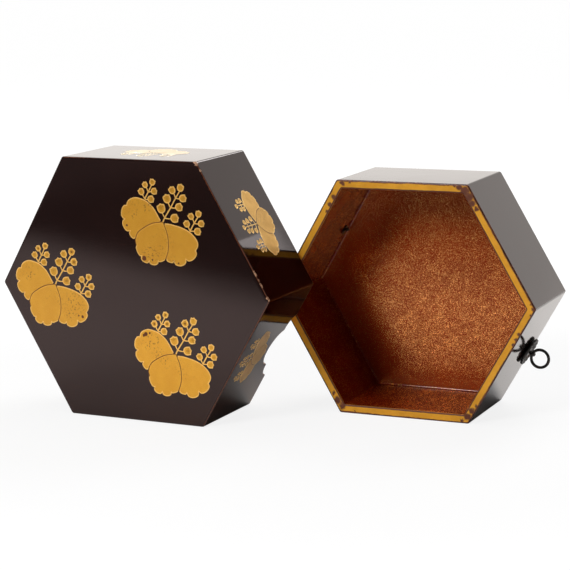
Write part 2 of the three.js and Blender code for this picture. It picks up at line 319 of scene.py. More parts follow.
def lining_lacquer():
    """The walls' inner faces: the same lacquer, duller, with few flakes in it, and shining fillets."""
    made, n = material("wall_lining_lacquer")
    cloud = n.noise(15.0)
    ground = n.mix(n.ramp(cloud, 0.3, 0.7), (0.135, 0.0060, 0.0004), (0.195, 0.0108, 0.0008))
    flakes = n.cells(1500.0)["Color"]
    picked = n.plus(n.channel(flakes, "Red"), n.times(n.noise(60.0, 2.0), 0.5))
    cover = n.ramp(picked, 1.08, 1.18, 0.0, 0.5)
    n.surface({
        "Base Color": n.mix(cover, ground, (0.95, 0.34, 0.05)),
        "Metallic": cover,
        "Roughness": 0.2,
        "Specular IOR Level": 0.13,
        "Specular Tint": (1.0, 0.5, 0.3),
        "Coat Weight": n.attribute("edge"),
        "Coat Roughness": 0.16,
        "Normal": n.bump(cloud, 0.1, 0.0004, n.tilted(flakes, cover, 0.2)),
    })
    return made


def gold(name, shades, line_highlight, metal, coat, worn_places=(), dusty_places=()):
    """Gold powder, paler on the raised lines as a painted highlight, rubbed and spotted, with bare lacquer
    where it is lost.
    """
    made, n = material(name)
    powder = n.noise(1600.0, 3.0, 0.7)
    cloud = n.noise(70.0, 4.0, 0.6)
    colour = n.mix(n.ramp(cloud, 0.3, 0.7), *shades)
    colour = n.mix(n.ramp(powder, 0.35, 0.7, 0.0, 0.22), colour, line_highlight)
    # The raised lines take the pale colour as a painted highlight, as much as the relief's share at each
    # point
    colour = n.mix(n.times(n.attribute("line"), 0.85), colour, line_highlight)
    field = n.ramp(n.noise(28.0, 2.0), 0.54, 0.70, 0.0, 0.6)
    if dusty_places:
        field = n.larger(field, spots(n, dusty_places, 0.0, 90.0, 0.005, 0.3))
    speckle = n.times(n.ramp(n.noise(430.0, 4.0, 0.65), 0.54, 0.62), field)
    lost = n.larger(n.times(speckle, 0.62), n.times(n.attribute("bare"), 0.8))
    if worn_places:
        lost = n.larger(lost, spots(n, worn_places, 0.0, 500.0, 0.0009))
    kept = n.minus(1.0, lost)
    n.surface({
        "Base Color": n.mix(lost, colour, (0.125, 0.034, 0.008)),
        "Metallic": n.times(kept, metal),
        "Roughness": n.ramp(powder, 0.2, 0.8, 0.30, 0.44),
        "Normal": n.bump(lost, -0.3, 0.00008, n.bump(powder, 0.35, 0.00006)),
        "Specular IOR Level": 0.25,
        "Coat Weight": n.times(kept, coat),
        "Coat Roughness": 0.2,
        "Coat IOR": 1.28,
        "Coat Normal": n.bump(cloud, 0.1, 0.0003),
    })
    return made


def gilt_rim(worn_places=()):
    """The gilt edge of a wall: gold on red-brown lacquer, rubbed through at the corners."""
    made, n = material("gilt_rim")
    powder = n.noise(1100.0, 3.0, 0.7)
    colour = n.mix(n.ramp(n.noise(55.0, 4.0, 0.6), 0.25, 0.75), (0.65, 0.285, 0.014), (0.82, 0.385, 0.026))
    colour = n.mix(n.ramp(powder, 0.4, 0.8, 0.0, 0.25), colour, (0.90, 0.52, 0.11))
    ragged = n.noise(260.0, 4.0, 0.65)
    uneven = n.plus(n.times(ragged, 0.45), n.times(n.noise(48.0, 2.0), 0.55))
    rubbed = n.ramp(n.plus(n.times(n.attribute("edge"), 0.8), uneven), 0.72, 0.98)
    if worn_places:
        rubbed = n.larger(rubbed, spots(n, worn_places, BOX_HEIGHT, 190.0, 0.0034, 0.5))
    brown = n.mix(ragged, (0.070, 0.014, 0.008), (0.19, 0.060, 0.028))
    n.surface({
        "Base Color": n.mix(rubbed, colour, brown),
        "Metallic": n.times(n.minus(1.0, rubbed), 0.3),
        "Roughness": n.ramp(powder, 0.2, 0.8, 0.34, 0.52),
        "Specular IOR Level": 0.3,
        "Normal": n.bump(n.minus(powder, rubbed), 0.3, 0.00008),
    })
    return made


def iron():
    """Blackened iron, satin, rougher on the high places, a little brown in patches."""
    made, n = material("black_iron")
    forge = n.noise(420.0, 4.0, 0.6)
    n.surface({
        "Base Color": n.mix(n.ramp(n.noise(120.0), 0.5, 0.72), (0.030, 0.028, 0.027), (0.060, 0.034, 0.022)),
        "Metallic": 0.7,
        "Roughness": n.ramp(forge, 0.3, 0.7, 0.32, 0.5),
        "Normal": n.bump(forge, 0.35, 0.0002),
    })
    return made


# Shells. A column is a place round a wall: in a corner, on a flat, or a distance from a flat's end. A row is
# a loop round the walls. Where it follows the rim, its z is how far it lies from the rim's outline
Column = namedtuple("Column", "kind wall value edge rim", defaults=(0.0, 0.0, None))
Row = namedtuple("Row", "band apothem round z edge follows_rim cap", defaults=(0.0, False, False))


def crossing(column, row):
    """The point where a column meets a row."""
    flat = row.apothem - row.round
    if column.kind == "corner":
        reach = flat / cos(radians(HALF_TURN))
        a, c = radians(column.value), radians(column.wall + HALF_TURN)
        x = reach * cos(c) + row.round * cos(a)
        y = reach * sin(c) + row.round * sin(a)
        return Vector((x, y, row.z))
    along, z = column.value, row.z
    if column.kind == "end":
        half = flat * tan(radians(HALF_TURN))
        along = copysign(half - abs(column.value), column.value)
    if column.rim and row.follows_rim:
        rim_z, normal = column.rim
        along += normal.x * row.z
        z = rim_z + normal.y * row.z
    a = radians(column.wall)
    x = row.apothem * cos(a) - along * sin(a)
    y = row.apothem * sin(a) + along * cos(a)
    return Vector((x, y, z))


def notch_outline():
    """Points (s, z) of a cut-out in the lid's rim from one side to the other, in millimetres."""
    cusp = radians(NOTCH_CUSP)
    cusp_x = NOTCH_ARCH * cos(cusp)
    cusp_z = NOTCH_CENTRE + NOTCH_ARCH * sin(cusp)
    foot = cusp_x + NOTCH_LOBE
    lobe = []
    for i in range(LOBE_STEPS):
        t = i / LOBE_STEPS
        x = foot * (1 - t) ** 2 + 2 * (foot - NOTCH_LEAN) * t * (1 - t) + cusp_x * t * t
        z = 2 * cusp_z * t * (1 - t) + cusp_z * t * t
        lobe.append((x, z))
    turns = [lerp(cusp, pi - cusp, i / ARCH_STEPS) for i in range(ARCH_STEPS + 1)]
    arch = [(NOTCH_ARCH * cos(a), NOTCH_CENTRE + NOTCH_ARCH * sin(a)) for a in turns]
    return lobe + arch + [(-x, z) for x, z in reversed(lobe)]


def mitred(sides, least):
    """The normal between those of two sides, stretched at a corner, though by no more than 1 / least."""
    middle = sum(sides, Vector((0, 0))).normalized()
    return middle / max(least, middle.dot(sides[0]))


def rim_normals(points):
    """Normals of the inner points of an outline that runs towards -s, pointing up into the material."""
    found = []
    for trio in zip(points, points[1:], points[2:]):
        before, here, after = map(Vector, trio)
        sides = [Vector((run.y, -run.x)).normalized() for run in (here - before, after - here)]
        found.append(mitred(sides, NOTCH_LIMIT))
    return found


def columns(notched=()):
    """Columns anticlockwise round the hexagon, seen from above."""
    found = []
    for wall in sorted(WALLS.values()):
        found += [Column("end", wall, -d, edge) for d, edge in BESIDE_CORNER]
        if wall in notched:
            outline = notch_outline()
            level = [(outline[0][0] + 1, 0)] + outline + [(outline[-1][0] - 1, 0)]
            rims = zip(outline, rim_normals(level))
            pairs = [Column("flat", wall, s, 0.0, (z, normal)) for (s, z), normal in rims]
            found += reversed(pairs)
        else:
            found.append(Column("flat", wall))
        found += [Column("end", wall, d, edge) for d, edge in reversed(BESIDE_CORNER)]
        for i in range(1, CORNER_STEPS):
            found.append(Column("corner", wall, wall + WALL_TURN * i / CORNER_STEPS, 1.0))
    return found


def quarter(radius):
    """(from the side, below the top) pairs of a quarter round, from its foot on the side to its top."""
    angles = [i / ROUND_STEPS * pi / 2 for i in range(ROUND_STEPS + 1)]
    return [(radius * (1 - cos(a)), radius * (1 - sin(a))) for a in angles]


def joined(first, second, count):
    """Faces between two loops of as many points, given by the number of each loop's first point."""
    for i in range(count):
        j = (i + 1) % count
        yield first + i, first + j, second + j, second + i


def mesh_object(name, points, faces, materials, slots=None):
    mesh = bpy.data.meshes.new(name)
    mesh.from_pydata([tuple(p) for p in points], [], faces)
    for each in materials:
        mesh.materials.append(each)
    for polygon in mesh.polygons:
        polygon.use_smooth = True
        if slots:
            polygon.material_index = slots[polygon.index]
    return scene_object(name, mesh)


def scene_object(name, data):
    made = bpy.data.objects.new(name, data)
    bpy.context.scene.collection.objects.link(made)
    return made


def keep_flat(made):
    """Shading that leaves a large face flat up to its rounded edges."""
    weighted = made.modifiers.new("flat_faces", "WEIGHTED_NORMAL")
    weighted.keep_sharp = True
    weighted.weight = 100


def paint(made, name, values):
    layer = made.data.attributes.new(name, "FLOAT", "POINT")
    layer.data.foreach_set("value", values)


def shell(name, cols, rows, materials, wear):
    """A closed skin over rows, capped at both ends. A band takes the material of the row that it ends on.

    The wear says how much of its red ground each wall shows along its edges."""
    points, edges = [], []
    for row in rows:
        for column in cols:
            points.append(crossing(column, row) * MM)
            there = (column.wall + WALL_TURN) % 360
            share = (column.value - column.wall) / WALL_TURN if column.kind == "corner" else 0.0
            rubbed = lerp(wear[column.wall], wear[there], share)
            along_rim = row.edge * (rubbed if row.band == LACQUER else 1.0)
            worn = CORNER_WORN if row.band == LACQUER and not row.cap else 0.0
            edges.append(max(along_rim, worn * column.edge * rubbed))
    count = len(cols)
    faces, slots = [tuple(reversed(range(count)))], [rows[0].band]
    for r, row in enumerate(rows[1:]):
        faces += joined(r * count, (r + 1) * count, count)
        slots += [row.band] * count
    last = (len(rows) - 1) * count
    faces.append(tuple(last + i for i in range(count)))
    slots.append(rows[-1].band)
    made = mesh_object(name, points, faces, materials, slots)
    paint(made, "edge", edges)
    keep_flat(made)
    return made


def stand(made, place, body, slot, *replaced):
    made.matrix_world = place
    bpy.context.view_layer.update()
    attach(made, body)
    if replaced:
        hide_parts(*replaced)


def gilt_worn(below):
    """How worn the gilt's inner edge is at a depth below the rim."""
    return GILT_WORN[0] if below < GILT_UPPER * RIM_ROUND else GILT_WORN[1]


def outer(apothem, inset, z, edge=0.0, band=LACQUER, **more):
    """A row on an outer face, moved in by an inset."""
    return Row(band, apothem - inset, CORNER_ROUND - inset, z, edge, **more)


def inner(apothem, inset, z, edge=0.0, band=LINING, **more):
    """A row on an inner face, moved into the wall by an inset."""
    return Row(band, apothem + inset, INNER_CORNER + inset, z, edge, **more)


def box_rows():
    """The box from its underside, up its outside, over the rim and down to its floor."""
    outside, inside, rim, low = BOX_APOTHEM - SKIN, BOX_APOTHEM - BOX_WALL, BOX_HEIGHT, BASE_THICKNESS
    return [
        outer(outside - CAP_INSET, BASE_ROUND, SKIN, cap=True),
        *[outer(outside, inset, SKIN + below, BASE_WORN) for inset, below in reversed(quarter(BASE_ROUND))],
        outer(outside, 0, BASE_ROUND + EDGE_FADE),
        outer(outside, 0, rim - RIM_ROUND - RIM_FADE),
        *[outer(outside, inset, rim - below, RIM_WORN) for inset, below in quarter(RIM_ROUND)],
        outer(outside - BOX_GILT[1], RIM_ROUND, rim, band=GILT),
        inner(inside + BOX_GILT[0], RIM_ROUND, rim, band=GILT),
        *[inner(inside, out, rim - down, gilt_worn(down), GILT) for out, down in quarter(RIM_ROUND)[::-1]],
        inner(inside, 0, rim - RIM_ROUND - RIM_FADE),
        inner(inside, 0, low + FILLET + SHINE_FADE),
        *[inner(inside - inset, 0, low + below, 1.0) for inset, below in quarter(FILLET)],
        inner(inside - FILLET - SHINE_FADE, 0, low, band=SPRINKLED),
    ]


def lid_rows():
    """The lid from under its top, down its inside, round the rim, up its outside and over its top."""
    outside, inside = LID_APOTHEM - LACQUER_INSET, LID_APOTHEM - LID_WALL
    under, face = LID_HEIGHT - LID_TOP, LID_HEIGHT - LACQUER_INSET
    rim = {"follows_rim": True}
    rows = [
        inner(inside - FILLET - SHINE_FADE, 0, under, band=SPRINKLED),
        *[inner(inside - inset, 0, under - below, 1.0) for inset, below in reversed(quarter(FILLET))],
        inner(inside, 0, under - FILLET - SHINE_FADE),
        inner(inside, 0, RIM_ROUND + RIM_FADE, **rim),
        *[inner(inside, inset, below, gilt_worn(below), GILT, **rim) for inset, below in quarter(RIM_ROUND)],
        inner(inside + LID_GILT[0], RIM_ROUND, 0, band=GILT, **rim),
        outer(outside - LID_GILT[1], RIM_ROUND, 0, band=GILT, **rim),
        *[outer(outside, inset, below, RIM_WORN, **rim) for inset, below in reversed(quarter(RIM_ROUND))],
        outer(outside, 0, RIM_ROUND + RIM_FADE, **rim),
        outer(outside, 0, face - TOP_ROUND - EDGE_FADE),
    ]
    for inset, below in quarter(TOP_ROUND):
        along = atan2(TOP_ROUND - below, TOP_ROUND - inset)
        edge = sin(2 * along) ** 2
        rows.append(Row(LACQUER, outside - inset, CORNER_ROUND - inset / 2, face - below, edge))
    return rows + [Row(LACQUER, outside - TOP_ROUND - CAP_INSET, CORNER_ROUND / 2, face, cap=True)]


# Paulownia sprigs in raised gold: outlines in millimetres about the place where stems and leaves meet
def smooth(points, step=1.2):
    """Points at about one step along a smooth curve through the given ones."""
    last = len(points) - 1
    found = []
    for i in range(last):
        p = [Vector(points[min(max(i + k, 0), last)]) for k in (-1, 0, 1, 2)]
        square = 2 * p[0] - 5 * p[1] + 4 * p[2] - p[3]
        cube = 3 * p[1] - p[0] - 3 * p[2] + p[3]
        parts = max(2, round((p[2] - p[1]).length / step))
        for j in range(parts):
            t = j / parts
            found.append(0.5 * (2 * p[1] + (p[2] - p[0]) * t + square * t * t + cube * t * t * t))
    found.append(Vector(points[-1]))
    return found


def scallops(cusps, bulges):
    """Round lobes between cusps, each bulging to the right of its chord, with about a point a millimetre."""
    found = []
    for here, there, bulge in zip(cusps, cusps[1:], bulges):
        here, there = Vector(here), Vector(there)
        run = there - here
        side = Vector((run.y, -run.x)).normalized()
        parts = max(5, round(run.length))
        for j in range(parts):
            a = pi * j / parts
            found.append(here + run * (1 - cos(a)) / 2 + side * bulge * sin(a) ** LOBE_FULLNESS)
    found.append(Vector(cusps[-1]))
    return found


def cross(a, b):
    return a.x * b.y - b.x * a.y


def lefts(points):
    """Unit vectors to the left of each point of an open line."""
    last = len(points) - 1
    runs = [(points[min(i + 1, last)] - points[max(i - 1, 0)]).normalized() for i in range(last + 1)]
    return [Vector((-run.y, run.x)) for run in runs]


def beside(line, gap):
    """An open line moved to its left."""
    return [here + left * gap for here, left in zip(line, lefts(line))]


def inward_normals(points):
    """Unit normals into an anticlockwise outline, stretched at its cusps."""
    normals = []
    for i, here in enumerate(points):
        first = (here - points[i - 1]).normalized()
        second = (points[(i + 1) % len(points)] - here).normalized()
        sides = [Vector((-r.y, r.x)) for r in (first, second)]
        normals.append(mitred(sides, CUSP_LIMIT))
    return normals


def rooms(points, normals):
    """How far each point can move along its normal before it meets the outline's other side."""
    count = len(points)
    found = []
    for i, (here, normal) in enumerate(zip(points, normals)):
        room = 1e3
        for j, start in enumerate(points):
            edge = points[(j + 1) % count] - start
            lean = cross(normal, edge)
            near = (j - i + 2) % count < 4
            if near or abs(lean) < 1e-9:
                continue
            away = start - here
            t, u = cross(away, edge) / lean, cross(away, normal) / lean
            if t > 0 and 0 <= u <= 1:
                room = min(room, t)
        found.append(room)
    return found


class Relief:
    """Raised gold shapes joined in one mesh: each a low plinth with a raised line round a sunk panel."""

    def __init__(self):
        self.points, self.faces, self.lines, self.bares = [], [], [], []

    def shape(self, outline, line, panel=True, bare=0.0, lift=0.0, dot=0.0, sunk=False, line_highlight=None):
        """A plinth on an outline, edged by a line; a share at each point says how much painted highlight the
        line takes there.
        """
        line_highlight = line_highlight or [1.0] * len(outline)
        if sum(map(cross, outline, outline[1:] + outline[:1])) < 0:
            outline, line_highlight = outline[::-1], line_highlight[::-1]
        normals = inward_normals(outline)
        space = rooms(outline, normals)
        shade = -1.0 if sunk else 1.0
        top, low = TOP + lift, PANEL + lift
        steps = [(0.0, ROOT, shade), (TOP_INSET, top, shade)]
        if panel:
            steps += [(TOP_INSET + line, top, 1.0), (PANEL_INSET + line, low, 0.0)]
            steps.append((MIDDLE_INSET + line, low, 0.0))
        if dot:
            steps += [(dot, low, 0.0), (dot + DOT_SLOPE, low - DOT_DEPTH, -1.0)]
        start, count = len(self.points), len(outline)
        for inset, z, shade in steps:
            for here, normal, room, share in zip(outline, normals, space, line_highlight):
                p = here + normal * min(inset, ROOM_SHARE * room)
                self.points.append((p.x * MM, p.y * MM, z * MM))
                # How much painted highlight each point takes: the raised top does, the panel and sunk parts
                # don't
                self.lines.append(max(shade * share, 0.0))
                self.bares.append(bare if shade < 0.0 else 0.0)
        last = start + (len(steps) - 1) * count
        for first in range(start, last, count):
            self.faces += joined(first, first + count, count)
        self.faces.append(tuple(start + i for i in reversed(range(count))))
        self.faces.append(tuple(last + i for i in range(count)))

    def stroke(self, points, width, tip=None, groove=False):
        """A raised line along a curve, or the dark floor of a groove."""
        middle = smooth(points, STROKE_STEP)
        tip = width if tip is None else tip
        left, right = [], []
        for i, (here, side) in enumerate(zip(middle, lefts(middle))):
            half = lerp(width, tip, i / (len(middle) - 1)) / 2
            left.append(here + side * half)
            right.append(here - side * half)
        lift = (GROOVE if groove else STEM) - TOP
        self.shape(right + left[::-1], width, panel=False, bare=1.0, lift=lift, sunk=groove)

    def made(self, name, finish):
        piece = mesh_object(name, self.points, self.faces, [finish])
        paint(piece, "line", self.lines)
        paint(piece, "bare", self.bares)
        piece.data.set_sharp_from_angle(angle=radians(50))
        keep_flat(piece)
        return piece


# The relief: heights above the lacquer, in millimetres
ROOT, TOP, PANEL, GROOVE, STEM = -0.08, 0.17, 0.09, 0.05, 0.15

# How far in from an outline the top begins, and beyond the raised line the panel and the panel's even middle
TOP_INSET, PANEL_INSET, MIDDLE_INSET = 0.10, 0.35, 0.45

# The most that a point moves in, as a share of the room there is, and the limit of its mitre
ROOM_SHARE = 0.42
CUSP_LIMIT = 0.6

# The points of a bud: their angle from its outer side, their size and their width, as shares of its radius
BUD_POINTS = ((-0.86, 0.24, 0.24), (0.0, 0.20, 0.22), (0.86, 0.24, 0.24))
BUD_BODY = 0.96
BUD_STEPS = 40

# Its sunk middle: how far in that begins, the width of its slope, its depth, and how dark it mostly is
BUD_DOT, DOT_SLOPE, DOT_DEPTH = 0.62, 0.25, 0.03
BUD_BARE = 0.12

# Widths as shares of the stem's: at its tip, of a stalk at both ends, and of a bud's line
STEM_TIP = 0.8
STALK_ROOT, STALK_TIP = 0.9, 0.7
BUD_LINE = 0.62

# How deep a stalk reaches into its bud, how full a leaf's lobes are, and the length of a stroke's steps
STALK_REACH = 0.8
LOBE_FULLNESS = 0.8
STROKE_STEP = 0.9

# The leaves: the gap beside a seam, the groove in it, the raised line, and how much painted highlight that
# takes along the seam
SEAM_GAP = 0.75
GROOVE_WIDTH = 1.7
LINE = 0.85
SEAM_HIGHLIGHT = 0.12


def floret(relief, centre, radius, away, line, bare):
    """A bud, round towards its stalk and with three points on its outer side."""
    points = []
    outward = atan2(away[1], away[0])
    for a in circle(BUD_STEPS):
        turn = (a - outward + pi) % (2 * pi) - pi
        peaks = sum(size * exp(-(abs(turn - at) / wide) ** 1.4) for at, size, wide in BUD_POINTS)
        r = radius * (BUD_BODY + peaks)
        points.append(Vector((centre[0] + r * cos(a), centre[1] + r * sin(a))))
    relief.shape(points, line, bare=bare, dot=BUD_DOT * radius)


def spray(relief, stem, buds, width, bare):
    """A flower spray: a stem, and for each bud its place, size, and where its stalk leaves the stem."""
    relief.stroke(stem, width, width * STEM_TIP)
    for number, (place, radius, root, bend) in enumerate(buds):
        place, bend = Vector(place), Vector(bend)
        toward = (place - bend).normalized()
        stalk = [root, bend, place - toward * radius * STALK_REACH]
        relief.stroke(stalk, width * STALK_ROOT, width * STALK_TIP)
        floret(relief, place, radius, toward, width * BUD_LINE, bare.get(number, BUD_BARE))


def leaves(relief, shapes, left_seam, right_seam):
    """Three leaves: the front one whole, the other two ending a narrow gap short of it."""
    left, right = smooth(left_seam), smooth(right_seam)
    tips = scallops(*shapes["centre"])[1:-1]
    back = right[::-1][:-1]
    line_highlight = [SEAM_HIGHLIGHT] * len(left) + [1.0] * len(tips) + [SEAM_HIGHLIGHT] * len(back)
    relief.shape(left + tips + back, LINE, line_highlight=line_highlight)
    for seam in (left_seam, right_seam):
        relief.stroke(seam, GROOVE_WIDTH, groove=True)
    for side, seam, gap in (("left", left, -SEAM_GAP), ("right", right, SEAM_GAP)):
        top, *lobes = shapes[side]
        outline = smooth(top)[:-1] + scallops(*lobes)
        end = outline[-1]
        edge = beside(seam, gap)
        nearest = min(range(len(edge)), key=lambda i: (edge[i] - end).length)
        seam_part = edge[max(nearest - 1, 1):2:-1]
        line_highlight = [1.0] * len(outline) + [SEAM_HIGHLIGHT] * len(seam_part)
        relief.shape(outline + seam_part, LINE, line_highlight=line_highlight)


def sprig(name, finish, at, turn, plan, size, bare):
    """A sprig on the lid. For each spray, bare says how dark the middles of some of its buds are."""
    shapes, left_seam, right_seam, sprays, width = plan
    relief = Relief()
    leaves(relief, shapes, left_seam, right_seam)
    for each, dark in zip(sprays, bare):
        spray(relief, *each, width, dark)
    made = relief.made(name, finish)
    made.data.transform(Matrix.Diagonal((size, size, 1, 1)))
    stand(made, LID_PLACE @ Matrix.Translation(Vector(at) * MM) @ turn, "lid", "black_lacquer")


def mirrored(points):
    return [(-x, y) for x, y in points]


def upright_spray(x, foot, tip, tip_radius, pairs):
    """A straight spray: each pair of buds has its height, its distance from the stem, and its radius."""
    buds = [((x, tip), tip_radius, (x, tip - TIP_STALK), (x, tip - TIP_BEND))]
    for height, out, radius in pairs:
        for side in (-1, 1):
            bend = (x + side * out * PAIR_BEND, height - BEND_DROP)
            buds.append(((x + side * out, height), radius, (x, height - ROOT_DROP), bend))
    return [(x, foot), (x, (foot + tip) / 2), (x, tip - STEM_END)], buds


# The sprigs of the lid's face: for each leaf its top edge, its cusps and how far its lobes bulge; the seams
# between the leaves; and the sprays, each a stem and its buds
FACE_LEAVES = {
    "left": (
        [
            (-2.5, 1.3), (-9.2, 12.2), (-13.4, 16.4), (-18.3, 19.9), (-23.9, 21.8), (-29.9, 22.8),
            (-35.2, 21.5), (-39.1, 18.7), (-40.8, 14.6),
        ],
        [(-40.8, 14.6), (-43.7, 0.5), (-37.7, -11.2), (-32.2, -18.3)], [4.6, 4.8, 2.8],
    ),
    "centre": (
        [(-30.4, -24.7), (-25.7, -35.6), (-16.9, -40.5), (-6.3, -39.9), (1.2, -37.1)], [2.6, 3.8, 3.6, 1.2],
    ),
    "right": (
        [
            (1.8, -1.5), (7.7, -1.8), (14.1, -3), (20.4, -4.6), (26.1, -6.8), (31, -9.7), (34.9, -13.3),
            (37.1, -16.4), (38.4, -20.1), (37.7, -23.6), (35.6, -26.9),
        ],
        [(35.6, -26.9), (24.6, -36.3), (10.9, -39), (2.5, -37.1)], [-4.8, -5.4, -2.2],
    ),
}
FACE_LEFT_SEAM = [
    (-0.4, -0.6), (-10.6, -2.2), (-16.9, -4.7), (-21.8, -7.5), (-26.8, -10.9), (-29.6, -14.3), (-31.3, -19.4),
    (-31, -21.9), (-30.4, -24.7),
]
FACE_RIGHT_SEAM = [
    (-0.4, -0.6), (3, -8.7), (4.3, -13.6), (5, -19.3), (4.8, -25.6), (3.8, -30.8), (1.2, -37.1),
]
FACE_SPRAYS = [
    ([(0, -0.3), (2.1, 3.9), (9.2, 14.4), (14.8, 23.6), (19.2, 30.1)], [
        ((20.4, 33.7), 3.9, (19.2, 30.1), (19.7, 31.4)), ((11.3, 31), 3.9, (14.8, 23.6), (13.7, 26.7)),
        ((22.5, 23.7), 4, (15, 23.6), (18, 23.1)), ((5.3, 22.4), 4.5, (8.8, 14.1), (7, 17.5)),
        ((18, 14.9), 4.2, (9.2, 14.1), (12.7, 13.8)), ((-1.4, 12.6), 4.8, (2.1, 3.6), (0, 7.6)),
        ((12.7, 3.8), 4.6, (2.3, 3.6), (6.7, 3)),
    ]),
    ([(-19.9, 21), (-15.5, 28.3), (-12.3, 33.8)], [
        ((-10.6, 38), 3.4, (-12.3, 33.8), (-11.6, 35.4)), ((-18.7, 35.1), 3.2, (-15.6, 28.6), (-16.5, 31.1)),
        ((-9.2, 29.3), 3.5, (-15.5, 28.4), (-12.7, 28.7)), ((-23.2, 28.2), 3.6, (-19.6, 21.7), (-21.3, 24.5)),
        ((-13, 21.4), 3.8, (-19.4, 21.6), (-17.6, 20.8)),
    ]),
    ([(29.4, -8.4), (34.5, 0), (38.6, 5.9)], [
        ((39.4, 9.1), 3.5, (38.6, 5.9), (39, 6.9)), ((31.3, 6.4), 3.4, (34.5, 0.3), (33.7, 2.8)),
        ((41.9, 0), 3.6, (34.6, 0), (37.7, -0.5)), ((26.4, -1.1), 3.6, (29.7, -7.8), (28.3, -4.8)),
        ((37.7, -7.8), 3.9, (29.9, -7.9), (33.1, -7.8)),
    ]),
]

# The sprig of the lid's walls, half of it: it is the same on both sides of its middle
WALL_SEAM = [(0.3, -0.6), (4.7, -4.4), (9.4, -8.8), (12.3, -13.4), (13.9, -20)]
WALL_SIDE = (
    [(2, -0.2), (8.8, 2.7), (15.5, 4.5), (23, 4.8), (29.4, 2.7), (33.4, -1.4)],
    [(33.4, -1.4), (33.4, -9.6), (28.3, -16.6), (21.4, -20.2), (14.2, -20.6)], [-2.6, -2.8, -2.2, -1.2],
)
WALL_FAN = [(-13.9, -20), (-11, -26.8), (-4.4, -30.4), (4.4, -30.4), (11, -26.8), (13.9, -20)]
WALL_LEAVES = {
    "left": (mirrored(WALL_SIDE[0]), mirrored(WALL_SIDE[1]), [-bulge for bulge in WALL_SIDE[2]]),
    "centre": (WALL_FAN, [1.7, 2.2, 2.9, 2.2, 1.7]),
    "right": WALL_SIDE,
}

# Its sprays: how far from its bud a stalk leaves the stem and bends, for the topmost bud and the others
TIP_STALK, TIP_BEND, STEM_END = 4.6, 3.4, 3.0
ROOT_DROP, BEND_DROP, PAIR_BEND = 3.9, 2.6, 0.72
MIDDLE_PAIRS = ((7.0, 6.2, 2.9), (14.9, 5.4, 2.8), (21.6, 4.8, 2.5))
OUTER_PAIRS = ((9.1, 4.6, 2.6), (15.0, 4.3, 2.4))
WALL_SPRAYS = [upright_spray(0.0, 0.0, 26.4, 2.6, MIDDLE_PAIRS)]
WALL_SPRAYS += [upright_spray(x, 4.6, 20.2, 2.5, OUTER_PAIRS) for x in (-22.3, 22.3)]

# A sprig's leaves, their seams, its sprays and the width of its stems
FACE_PLAN = (FACE_LEAVES, FACE_LEFT_SEAM, FACE_RIGHT_SEAM, FACE_SPRAYS, 1.55)
WALL_PLAN = (WALL_LEAVES, mirrored(WALL_SEAM), WALL_SEAM, WALL_SPRAYS, 1.2)

# The face's sprigs: their place, their painted brightness (painted shade on the upper sprig, painted light on
# the lower), their rubbed buds, their worn spots and their dusty places
FACE_SPRIGS = [
    (
        (37.6, 71.3), 0.89, ({3: 0.3, 5: 0.3}, {}, {}),
        [(-22.4, -37.4, 2.9), (-13.2, -38.6, 1.2), (-40.8, -5.6, 1.5), (16, -40.3, 1.2)],
        [(-15, -33, 13), (-5, -28, 8), (-17, 13, 8), (-33, 6, 6), (9, -36, 6)],
    ),
    (
        (-88.9, 1.7), 0.97, ({0: 1, 2: 0.8, 6: 0.4}, {0: 0.7, 1: 0.9}, {0: 0.8, 2: 0.6, 4: 0.8}),
        [(30.5, -31.5, 1.8), (26, -30.5, 1)], [(22, -18, 17), (16, -30, 10), (-30, 8, 8)],
    ),
    (
        (47.5, -59.4), 1.12, ({1: 0.9, 3: 0.5, 6: 0.4}, {0: 0.9, 1: 0.9, 2: 0.8, 3: 1}, {}),
        [(-33.5, 17.3, 2.4), (-35.6, 16, 1.8), (-29, 18.6, 1.2)], [(-26, 10, 14), (-18, -2, 9), (-14, -8, 8)],
    ),
]

# The colours of the gold powder and of the painted highlight on its raised lines, and how alike that
# highlight stays on the face's sprigs
FACE_GOLD = ((0.65, 0.29, 0.01), (0.7, 0.33, 0.016))
FACE_LINE_HIGHLIGHT = (0.95, 0.56, 0.15)
WALL_GOLD = ((0.46, 0.245, 0.04), (0.58, 0.33, 0.075))
WALL_LINE_HIGHLIGHT = (0.8, 0.52, 0.18)
# The top wall's gold is a paler copy: painted light, where its sprig catches the bright room at a grazing
# angle
TOP_GOLD_PAINTED_LIGHT = ((0.92, 0.72, 0.42), (1, 0.82, 0.54))
TOP_LINE_HIGHLIGHT = (1, 0.9, 0.7)
HIGHLIGHT_EVENNESS = 0.4

# The walls' sprigs: how far below the lid's top edge their leaves meet, and their size, also above a cut-out
PLAIN_DEPTH, PLAIN_SIZE = 51.5, 1.0
NOTCHED_DEPTH, NOTCHED_SIZE = 34.0, 0.87
NOTCHED = (330, 150)
BUDS_RUBBED = {
    "upper_right": ({}, {3: 0.5}, {}),
    "top": ({2: 0.6}, {}, {0: 0.5}),
    "upper_left": ({4: 0.9}, {1: 0.7}, {}),
    "lower_left": ({}, {}, {2: 0.8, 4: 0.6}),
    "bottom": ({1: 0.9, 5: 0.8}, {0: 0.8}, {3: 0.7}),
    "lower_right": ({0: 0.9, 1: 0.9, 3: 0.9, 5: 0.9}, {0: 0.6}, {0: 0.6}),
}

# Worn places of the box's gilt rim, in the box's own axes, with their radii
RIM_SPOTS = [
    (55, 116.5, 2.6), (60, 115, 4.4), (65, 111.5, 6), (69, 106, 6), (73, 100, 5), (76.5, 94, 3.2),
    (-62, 115, 3.6), (-55, 116.5, 2), (-71, 100, 4.2), (-75.5, 92.5, 3.4), (-79, 86, 2.4), (-71, -106, 5),
    (-65, -110.5, 5), (-75, -99, 2.4), (61, -115, 3), (67, -111, 5), (72, -105, 4.4), (76, -99, 2.6),
    (132, 6, 3), (134, 0.5, 3.2), (131.5, -6, 2.4), (119.5, -26, 2.8), (116.5, -31, 2.8), (113.5, -35.5, 2.2),
    (-52, -115, 1.6),
]

